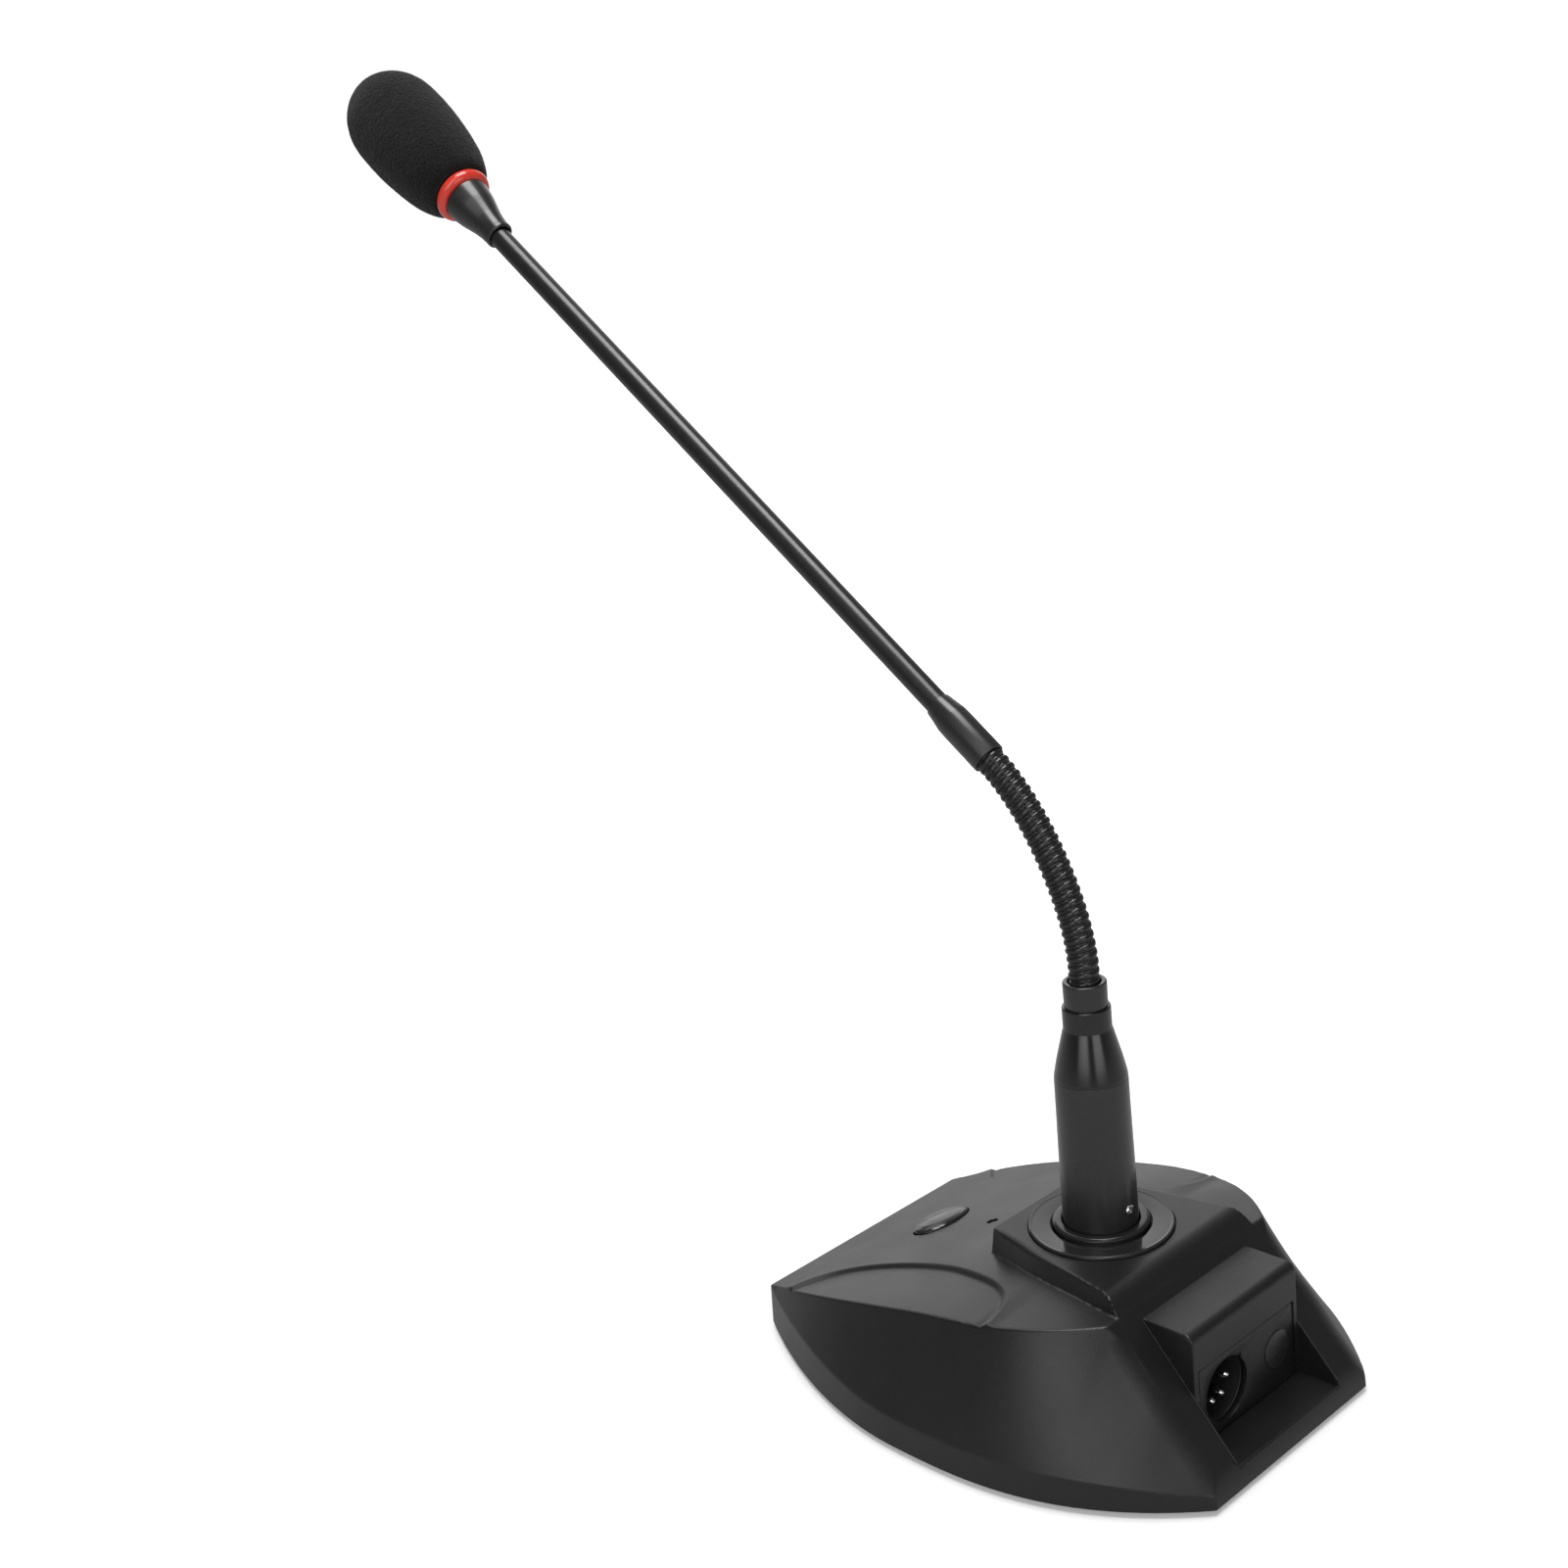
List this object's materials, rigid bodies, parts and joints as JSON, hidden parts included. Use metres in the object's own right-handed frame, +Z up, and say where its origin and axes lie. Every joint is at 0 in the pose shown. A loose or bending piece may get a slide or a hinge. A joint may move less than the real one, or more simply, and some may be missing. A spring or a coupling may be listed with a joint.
{
  "type": "desktop gooseneck microphone",
  "caption": "Desk microphone: heavy low base with a push button, a plug-in gooseneck with a straight boom, a light ring and a foam windscreen, and a rear cable outlet.",
  "frame": {"origin": "on the flat underside of the base's steel bottom plate, straight below the vertical axis of the microphone socket", "axes": "+Z up, -Y towards the speaker (the boom leans that way and the button is on that side), +Y towards the rear output, X across the base's plane of symmetry"},
  "size_m": [0.1178, 0.3085, 0.3409],
  "materials": {
    "case": "fine-grained matte black moulding",
    "gloss_black": "glossy black moulding",
    "black_metal": "satin black coated metal",
    "zinc_steel": "zinc-plated steel",
    "bright_pin": "bright plated contact pin",
    "contact_brass": "bare contact brass",
    "rubber": "matte black rubber or cable sheath",
    "circuit_board": "solder-masked circuit board",
    "insert_plastic": "satin black insulating plastic",
    "red_ring": "glossy translucent red plastic",
    "foam": "open-cell black foam"
  },
  "bodies": {
    "base": {"base_shell": "case", "bottom_plate": "zinc_steel", "ballast_plate": "zinc_steel", "socket_flange": "gloss_black", "socket_body": "insert_plastic", "socket_nut": "zinc_steel", "socket_collar": "rubber", "socket_insert": "insert_plastic", "socket_contact_1": "contact_brass", "socket_contact_2": "contact_brass", "socket_contact_3": "contact_brass", "connector_panel": "case", "output_housing": "insert_plastic", "output_insert": "insert_plastic", "output_pin_1": "bright_pin", "output_pin_2": "bright_pin", "output_pin_3": "bright_pin", "panel_sticker": "insert_plastic", "control_board": "circuit_board", "switch_body": "insert_plastic", "status_led": "red_ring", "internal_lead": "rubber", "rubber_foot_front_right": "rubber", "rubber_foot_rear_right": "rubber", "rubber_foot_front_left": "rubber", "rubber_foot_rear_left": "rubber", "base_screw_front_right": "zinc_steel", "base_screw_rear_right": "zinc_steel", "base_screw_front_left": "zinc_steel", "base_screw_rear_left": "zinc_steel"},
    "button": {"push_button": "gloss_black", "switch_plunger": "insert_plastic"},
    "plug": {"plug_shell": "black_metal", "plug_insert": "insert_plastic", "plug_pin_1": "bright_pin", "plug_pin_2": "bright_pin", "plug_pin_3": "bright_pin", "plug_set_screw": "bright_pin", "plug_bushing": "black_metal", "neck_collar": "black_metal", "plug_lead": "rubber", "neck_link_0": "black_metal"},
    "neck_1": {"neck_link_1": "black_metal"},
    "neck_2": {"neck_link_2": "black_metal"},
    "neck_3": {"neck_link_3": "black_metal"},
    "neck_4": {"neck_link_4": "black_metal"},
    "neck_5": {"neck_link_5": "black_metal"},
    "neck_6": {"neck_link_6": "black_metal"},
    "arm": {"neck_link_7": "black_metal", "neck_ferrule": "black_metal", "boom_tube": "black_metal", "mic_lead": "rubber", "capsule_housing": "black_metal", "light_ring": "red_ring", "capsule_grille": "black_metal", "light_ring_board": "circuit_board", "capsule_sleeve": "rubber", "mic_capsule": "zinc_steel"},
    "windscreen": {"windscreen": "foam"}
  },
  "joints": [
    {"name": "button_press", "type": "slide", "parent": "base", "child": "button", "axis": [0, 0.3007, -0.9537], "range_m": [0, 0.0015]},
    {"name": "mic_unplug", "type": "slide", "parent": "base", "child": "plug", "axis": [0, 0, 1], "range_m": [0, 0.019]},
    {"name": "neck_bend_1", "type": "hinge", "parent": "plug", "child": "neck_1", "pos_m": [0, -0.00004, 0.11117], "axis": [1, 0, 0], "range_deg": [-35.5, 9.5]},
    {"name": "neck_side_1", "type": "hinge", "parent": "neck_1", "child": "neck_2", "pos_m": [0, -0.00128, 0.1196], "axis": [0, 0.9763, 0.2166], "range_deg": [-20, 20]},
    {"name": "neck_bend_2", "type": "hinge", "parent": "neck_2", "child": "neck_3", "pos_m": [0, -0.00372, 0.12777], "axis": [1, 0, 0], "range_deg": [-35.5, 9.5]},
    {"name": "neck_side_2", "type": "hinge", "parent": "neck_3", "child": "neck_4", "pos_m": [0, -0.00704, 0.13562], "axis": [0, 0.9005, 0.4348], "range_deg": [-20, 20]},
    {"name": "neck_bend_3", "type": "hinge", "parent": "neck_4", "child": "neck_5", "pos_m": [0, -0.01113, 0.14311], "axis": [1, 0, 0], "range_deg": [-35.5, 9.5]},
    {"name": "neck_side_3", "type": "hinge", "parent": "neck_5", "child": "neck_6", "pos_m": [0, -0.016, 0.15011], "axis": [0, 0.7818, 0.6235], "range_deg": [-20, 20]},
    {"name": "neck_bend_4", "type": "hinge", "parent": "neck_6", "child": "arm", "pos_m": [0, -0.02174, 0.15641], "axis": [1, 0, 0], "range_deg": [-35.5, 9.5]},
    {"name": "windscreen_pull", "type": "slide", "parent": "arm", "child": "windscreen", "axis": [0, -0.7915, 0.6111], "range_m": [0, 0.032]}
  ],
  "couplings": [
    {"joint": "neck_bend_2", "follows": "neck_bend_1", "ratio": 1},
    {"joint": "neck_side_2", "follows": "neck_side_1", "ratio": 1},
    {"joint": "neck_bend_3", "follows": "neck_bend_1", "ratio": 1},
    {"joint": "neck_side_3", "follows": "neck_side_1", "ratio": 1},
    {"joint": "neck_bend_4", "follows": "neck_bend_1", "ratio": 1}
  ]
}
